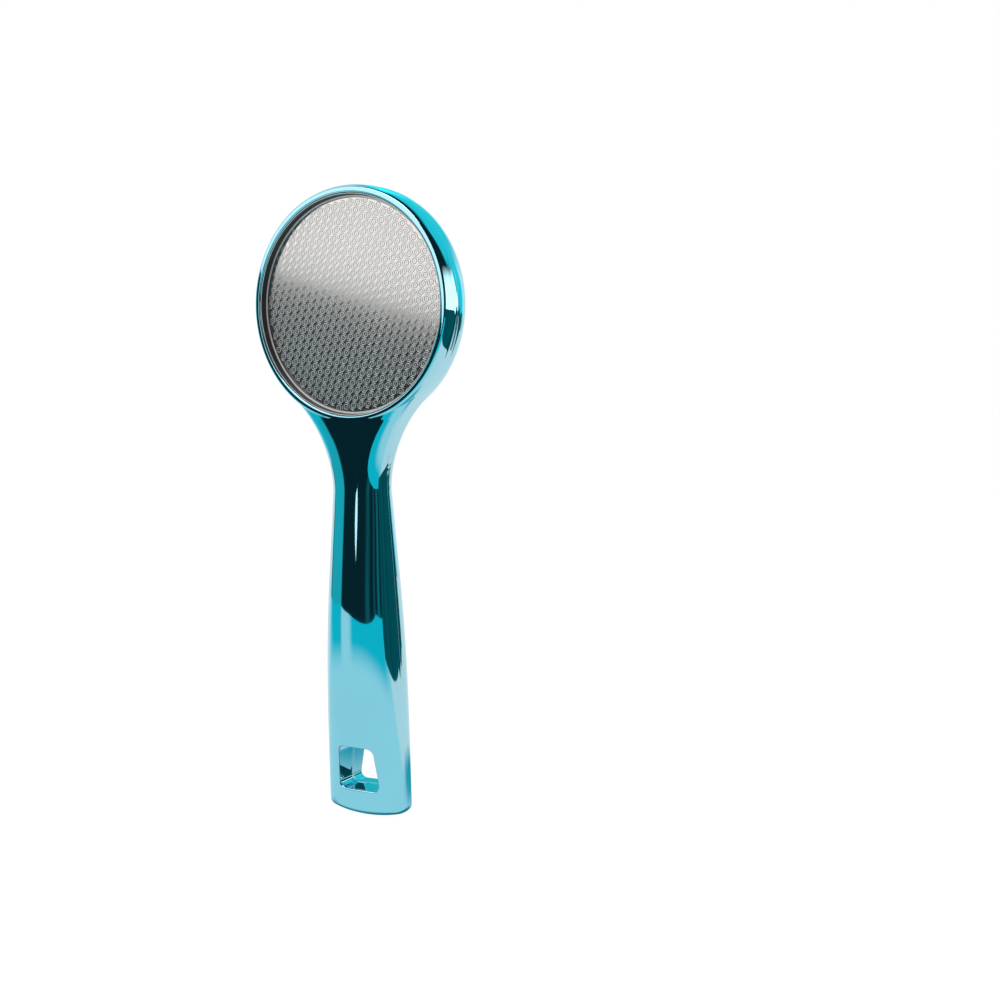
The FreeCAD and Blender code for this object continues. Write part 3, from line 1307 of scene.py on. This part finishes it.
@dataclass
class CoarsePlate(FilePlate):
    """Coarse face: rings on a skewed lattice, a mark inside each and ridges between them."""

    row_step: float = 2.92
    row_angle: float = 6.8
    slant_step: float = 2.70
    slant_angle: float = 70.0
    lattice_reach: int = 16
    ring_outer: float = 1.00
    ring_inner: float = 0.62
    crest_outer: float = 0.91
    crest_inner: float = 0.71
    ring_steps: int = 22
    ring_margin: float = 0.25
    mark_foot: float = 0.42
    mark_crest: float = 0.2
    mark_height: float = 0.75
    bar_margin: float = 0.35
    thin_bar: Bar = Bar(1.5, 0.36, 0.1, Grain.FROSTED, Grain.FROSTED)
    land_bar: Bar = Bar(1.95, 0.50, 0.06, land=Grain.GROUND)
    relief: float = 0.08
    root: float = 0.03

    def lattice(self) -> tuple[np.ndarray, np.ndarray]:
        """The two steps of the lattice.

        Returns:
            The step along a row and the step to the next row, each across and up.
        """
        row, slant = math.radians(self.row_angle), math.radians(self.slant_angle)
        return (
            self.row_step * np.array([math.cos(row), math.sin(row)]),
            self.slant_step * np.array([math.cos(slant), math.sin(slant)]),
        )

    def ring(self, draft: MeshDraft, centre: np.ndarray) -> None:
        """Adds one raised ring and the small three-sided mark inside it.

        Args:
            draft: Where the points and faces go.
            centre: Middle of the ring.
        """
        turn = np.linspace(0.0, 2.0 * math.pi, self.ring_steps, endpoint=False)
        way = np.stack([np.cos(turn), np.sin(turn)], axis=1)
        low, high = self.top - self.root, self.top + self.relief
        section = (
            (self.ring_inner, low),
            (self.crest_inner, high),
            (self.crest_outer, high),
            (self.ring_outer, low),
        )
        first = len(draft.faces)
        draft.weave([draft.add(self.place(centre + way * radius, depth)) for radius, depth in section])
        draft.grains.update({number: Grain.FROSTED for number in range(first, len(draft.faces))})
        turn = np.radians([90.0, 210.0, 330.0])
        way = np.stack([np.cos(turn), np.sin(turn)], axis=1)
        foot, crest = centre + way * self.mark_foot, centre + way * self.mark_crest
        self.raised(draft, foot, crest, self.mark_height * self.relief, Grain.FROSTED, Grain.FROSTED)

    def pattern(self, draft: MeshDraft) -> None:
        """Adds the rings and ridges over the whole lattice.

        Args:
            draft: Where the points and faces go.
        """
        first, second = self.lattice()
        links = ((first, self.thin_bar), (second, self.thin_bar), (first - second, self.land_bar))
        reach = range(-self.lattice_reach, self.lattice_reach + 1)
        for centre in (i * first + j * second for i in reach for j in reach):
            if np.linalg.norm(centre) < self.pattern_radius - self.ring_margin:
                self.ring(draft, centre)
            for step, bar in links:
                middle = centre + step / 2.0
                if np.linalg.norm(middle) <= self.pattern_radius - self.bar_margin:
                    self.ridge(draft, middle, math.atan2(step[1], step[0]) + QUARTER, bar)


@dataclass
class FinePlate(FilePlate):
    """Fine face: short ridges in turning directions."""

    pitch: float = 1.7
    bar: Bar = Bar(1.15, 0.42, 0.13)
    bar_margin: float = 0.4
    first_angle: float = 15.0
    turn_angle: float = 60.0
    relief: float = 0.16

    def pattern(self, draft: MeshDraft) -> None:
        """Adds the ridges on a lattice of even triangles.

        Args:
            draft: Where the points and faces go.
        """
        across = int(self.pattern_radius / self.pitch) + 3
        rise = self.pitch * math.sqrt(0.75)
        rows = int(self.pattern_radius / rise) + 1
        for j in range(-rows, rows + 1):
            for i in range(-across, across + 1):
                middle = np.array([(i + 0.5 * (j % 2)) * self.pitch, j * rise])
                if np.linalg.norm(middle) <= self.pattern_radius - self.bar_margin:
                    angle = ((i + 2 * j) % 3) * self.turn_angle + self.first_angle
                    self.ridge(draft, middle, math.radians(angle), self.bar)


@dataclass(frozen=True)
class WhiteSheet(Finish):
    """White paper of the floor: plain white with a faint shadow; in mirrors it shows painted reflection
    colours: a pale teal tint in front, painted shade far off and in a patch behind, and a painted contact
    shadow.

    Each pair gives the places, in metres, where the edge of a painted tint or painted shade is nought and
    where it is full.
    """

    colour: float = 0.9
    shadow_share: float = 0.2
    shown: float = 1.2
    # painted reflection tint of the floor in front, seen only in mirrors
    near_painted_reflection: Colour = (0.64, 0.94, 1.00)
    near_edge: Pair = (0.04, 0.0)
    # painted shade of the floor far in front, seen only in mirrors
    far_painted_shade: Colour = (0.01, 0.66, 0.77)
    far_edge: Pair = (0.18, 0.34)
    far_front: Pair = (0.05, -0.12)
    wedge_low: Pair = (0.42, 0.66)
    wedge_high: Pair = (1.10, 0.90)
    # painted shade of a patch behind the tool, seen only in mirrors
    rear_painted_shade: Colour = (0.02, 0.48, 0.58)
    rear_spot: Colour = (0.038, 0.052, 0.0)
    rear_edge: Pair = (0.06, 0.015)
    # painted contact shadow under the tool's end, seen only in mirrors
    contact_painted_shadow: Colour = (0.0, 0.26, 0.34)
    contact_depth: Pair = (0.008, 0.0045)
    contact_reach: Pair = (0.026, 0.014)

    def ground(self, graph: ShaderGraph) -> Field:
        """Colour of the floor as mirrors show it, with painted reflection tints, painted shade and a painted
        contact shadow.

        Args:
            graph: Where the nodes go.

        Returns:
            The colour.
        """
        place = graph.place()
        away = graph.vector("LENGTH", place, output="Value")
        forward = graph.part(place, "Y")
        slant = graph.part(place, "X") / forward
        wedge = slant.step(*self.wedge_low) * slant.step(*self.wedge_high)
        # painted shade: the floor far in front turns saturated teal in mirrors, but for a wedge that stays
        # light
        far = away.step(*self.far_edge) * forward.step(*self.far_front) * (1.0 - wedge)
        # painted shade: a soft dark teal patch behind the tool, seen only in mirrors, so that the hang hole's
        # inner wall mirrors deeper teal
        rear = graph.vector("DISTANCE", place, self.rear_spot, "Value").step(*self.rear_edge)
        # painted shadow: the floor right under the tool's end turns dark teal, seen only in mirrors
        contact = abs(forward).step(*self.contact_depth) * away.step(*self.contact_reach)
        # painted reflection: the floor in front of the tool shows pale teal, not white, in mirrors
        ground = graph.blend(forward.step(*self.near_edge), WHITE, self.near_painted_reflection)
        ground = graph.blend(far, ground, self.far_painted_shade)
        ground = graph.blend(rear, ground, self.rear_painted_shade)
        return graph.blend(contact, ground, self.contact_painted_shadow)

    def surface(self, graph: ShaderGraph) -> bpy.types.Node:
        """Diffuse paper, mixed towards plain light where the camera sees it and towards the painted
        reflection colours where a mirror does.

        Args:
            graph: Where the nodes go.

        Returns:
            The shader's node.
        """
        seen, mirrored = graph.sight()
        tint = graph.blend(seen, self.ground(graph), (self.shown,) * 3)
        paper = graph.node("ShaderNodeBsdfDiffuse", None, {"Color": (*(self.colour,) * 3, 1.0)})
        white = graph.node("ShaderNodeEmission", None, {"Color": tint, "Strength": 1.0})
        share = (seen * (1.0 - self.shadow_share) + mirrored).math("MINIMUM", 1.0)
        return graph.mixed(share, paper, white)


@dataclass(frozen=True)
class Glow(Finish):
    """Lit cloth of a softbox, with faint folds and a softer upper edge."""

    strength: float = 1.0
    tint: Colour = WHITE
    fade: float = 0.0
    folds: float = 0.0
    fold_scale: float = 9.0
    fold_stretch: Colour = (1.0, 1.0, 0.02)

    def surface(self, graph: ShaderGraph) -> bpy.types.Node:
        """Light that varies a little across the cloth.

        Args:
            graph: Where the nodes go.

        Returns:
            The shader's node.
        """
        place = graph.place("Generated")
        upright = graph.vector("MULTIPLY", place, self.fold_stretch)
        cloth = graph.noise(upright, self.fold_scale) * self.folds + (1.0 - 0.5 * self.folds)
        if self.fade:
            cloth = cloth * graph.part(place, "Z").step(1.001, 1.0 - self.fade)
        inputs = {"Color": graph.scaled(self.tint, cloth), "Strength": self.strength}
        return graph.node("ShaderNodeEmission", None, inputs)


@dataclass(frozen=True)
class LightPanel:
    """A soft-edged bright field far off, by its bearing and height in degrees from the tool."""

    bearing: float
    half_width: float
    low: float
    high: float
    strength: float
    soft: float = 4.0
    soft_height: float = 4.0
    tint: Colour = WHITE

    def glow(self, bearing: Field, height: Field) -> Field:
        """Brightness of the panel in each direction.

        Args:
            bearing: Bearing of the direction, in degrees from straight ahead.
            height: Height of the direction above the horizon, in degrees.

        Returns:
            The panel's brightness there.
        """
        away = (bearing - self.bearing).math("PINGPONG", 180.0)
        across = away.step(self.half_width + self.soft, self.half_width - self.soft)
        above = height.step(self.low - self.soft_height, self.low + self.soft_height)
        below = height.step(self.high + self.soft_height, self.high - self.soft_height)
        return across * above * below * self.strength


@dataclass(frozen=True)
class Softbox:
    """A lit panel near the tool, by the bearings and heights of its corners in degrees from the head."""

    name: str
    corners: tuple[Pair, ...]
    facing: Pair
    distance: float
    cloth: Glow
    centre: Colour = (0.0, 0.0, 0.165)

    @staticmethod
    def way(bearing: float, height: float) -> Vector:
        """Direction of a bearing and a height in degrees."""
        b, h = math.radians(bearing), math.radians(height)
        return Vector((math.cos(h) * math.sin(b), -math.cos(h) * math.cos(b), math.sin(h)))

    def build(self) -> None:
        """Adds the flat panel, which only mirrors and lit surfaces see."""
        axis, centre = self.way(*self.facing), Vector(self.centre)
        rays = [self.way(*corner) for corner in self.corners]
        made = flat_panel(self.name, [centre + ray * (self.distance / ray.dot(axis)) for ray in rays])
        self.cloth.dress(made)
        made.visible_camera = False
        made.visible_shadow = False


@dataclass
class Studio:
    """Floor, surrounding light and camera, in metres."""

    camera_place: Colour = (0.26084, -0.36247, 0.14447)
    camera_right: Colour = (0.8661, 0.4995, -0.0176)
    camera_up: Colour = (-0.0321, 0.0906, 0.9954)
    lens: float = 50.0
    sensor: float = 36.0
    clip_start: float = 0.01
    floor_x: Pair = (-0.75, 0.9)
    floor_y: Pair = (-0.68, 0.8)
    dark: Colour = (0.004, 0.024, 0.030)
    grey: Colour = (1.0, 0.96, 0.94)
    sky_tint: Colour = (0.04, 0.93, 1.03)
    card_tint: Colour = (0.02, 0.85, 0.95)

    def camera(self) -> None:
        """Adds the camera at the photograph's viewing place."""
        data = bpy.data.cameras.new("camera")
        data.lens = self.lens
        data.sensor_width = self.sensor
        data.clip_start = self.clip_start
        right = Vector(self.camera_right).normalized()
        back = right.cross(Vector(self.camera_up)).normalized()
        turn = Matrix((right, back.cross(right), back)).transposed()
        made = placed("camera", data)
        made.matrix_world = Matrix.Translation(Vector(self.camera_place)) @ turn.to_4x4()
        bpy.context.scene.camera = made

    def floor(self) -> None:
        """Adds the white sheet that the tool stands on."""
        (left, right), (front, rear) = self.floor_x, self.floor_y
        made = flat_panel("floor", [(left, front, 0), (right, front, 0), (right, rear, 0), (left, rear, 0)])
        WhiteSheet("white_sheet").dress(made)

    def panels(self) -> tuple[LightPanel, ...]:
        """Bright fields of the far room.

        Returns:
            The fields of the left side, then of the rear, then faint ones at the right front.
        """
        tint = self.sky_tint
        return (
            LightPanel(-114.0, 22.0, -60.0, 60.0, 1.05, 2.0),
            LightPanel(-146.0, 10.0, -60.0, 60.0, 0.6, 3.0, tint=tint),
            LightPanel(-66.5, 20.5, -14.0, 60.0, 0.55, 2.0, tint=tint),
            LightPanel(182.0, 22.0, -60.0, 20.0, 1.0, 6.0, 8.0),
            LightPanel(178.0, 36.0, 20.0, 52.0, 0.85, 5.0, 8.0, tint),
            LightPanel(155.0, 8.0, -4.0, 20.0, 0.85, 5.0, tint=tint),
            LightPanel(66.0, 5.0, -40.0, 14.0, 0.16, 4.0, 8.0, tint),
            LightPanel(48.0, 4.0, -40.0, 14.0, 0.08, 4.0, 8.0, tint),
            LightPanel(22.0, 7.0, -40.0, 8.0, 0.10, 6.0, 10.0, tint),
        )

    def surroundings(self) -> None:
        """Adds a world of bright panels round a dark front, plain white where the camera sees it."""
        world = bpy.data.worlds.new("studio")
        bpy.context.scene.world = world
        world.use_nodes = True
        graph = ShaderGraph(world.node_tree)
        way = graph.place("Generated")
        bearing = graph.part(way, "X").math("ARCTAN2", graph.part(way, "Y") * -1.0) * DEGREES
        height = graph.part(way, "Z").math("ARCSINE") * DEGREES
        light: Field | Colour = BLACK
        for panel in self.panels():
            colour = graph.blend(panel.glow(bearing, height), BLACK, panel.tint)
            light = graph.vector("ADD", light, colour)
        light = graph.vector("ADD", light, self.dark)
        seen, mirrored = graph.sight()
        level = graph.field("ShaderNodeRGBToBW", None, {0: light})
        light = graph.blend(mirrored, graph.scaled(self.grey, level), light)
        room = graph.node("ShaderNodeBackground", None, {"Color": light, "Strength": 1.0})
        plain = graph.node("ShaderNodeBackground", None, {"Color": (*WHITE, 1.0), "Strength": 1.0})
        both = graph.mixed(seen, room, plain)
        graph.node("ShaderNodeOutputWorld", None, {"Surface": both.outputs[0]})

    def softboxes(self) -> None:
        """Adds large lights at the front left and above, a window of light and a dark card at the right."""
        front = ((-64.0, 11.0), (-16.0, -3.0), (40.0, 57.0), (-64.0, 57.0))
        above = ((-64.0, 57.0), (40.0, 57.0), (70.0, 82.0), (-64.0, 78.0))
        window = ((79.0, -3.5), (146.0, -2.5), (146.0, 20.0), (79.0, 27.0))
        card = ((78.0, -23.5), (153.0, -23.0), (153.0, -3.0), (78.0, -3.3))
        window_cloth = Glow("right_cloth", 2.1, fade=0.5, folds=0.7)
        card_cloth = Glow("card_cloth", 0.12, self.card_tint, folds=1.2)
        Softbox("front_softbox", front, (-30.0, 28.0), 0.75, Glow("front_cloth", 1.5)).build()
        Softbox("top_softbox", above, (-20.0, 60.0), 1.2, Glow("top_cloth", 4.5)).build()
        Softbox("right_softbox", window, (104.0, 0.0), 0.6, window_cloth).build()
        Softbox("right_card", card, (115.0, 0.0), 0.31, card_cloth).build()


def settle(part: SubAssembly, name: str, node: str) -> None:
    """Builds and dresses a piece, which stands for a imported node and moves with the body.

    Args:
        part: What the piece is built from.
        name: Name of the new piece.
        node: Name of the node that it replaces.
    """
    piece = part.build(name)
    part.dress(piece)
    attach(piece, BODY)
    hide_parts(node)
    LOG.info("%s: %d faces", piece.name, len(piece.data.polygons))


def main() -> None:
    """Builds every piece in order, then the studio."""
    logging.basicConfig(level=logging.INFO, format="%(message)s")
    foam = FoamTape("white_foam")
    sides = ((Face.FRONT, "front_shell", "coarse", CoarsePlate), (Face.REAR, "rear_shell", "fine", FinePlate))
    for face, shell, grade, plate in sides:
        settle(Shell(face), "plated_" + shell, shell)
        settle(plate(face), "etched_" + grade + "_plate", grade + "_file_plate")
        settle(PlateRing(face), "steel_" + grade + "_ring", grade + "_plate_ring")
        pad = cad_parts[grade + "_adhesive_pad"]
        foam.dress(pad)
        LOG.info("%s: foam finish", pad.name)
    studio = Studio()
    studio.floor()
    studio.surroundings()
    studio.softboxes()
    studio.camera()
    bpy.context.scene.view_settings.view_transform = "Standard"


if __name__ == "__main__":
    main()
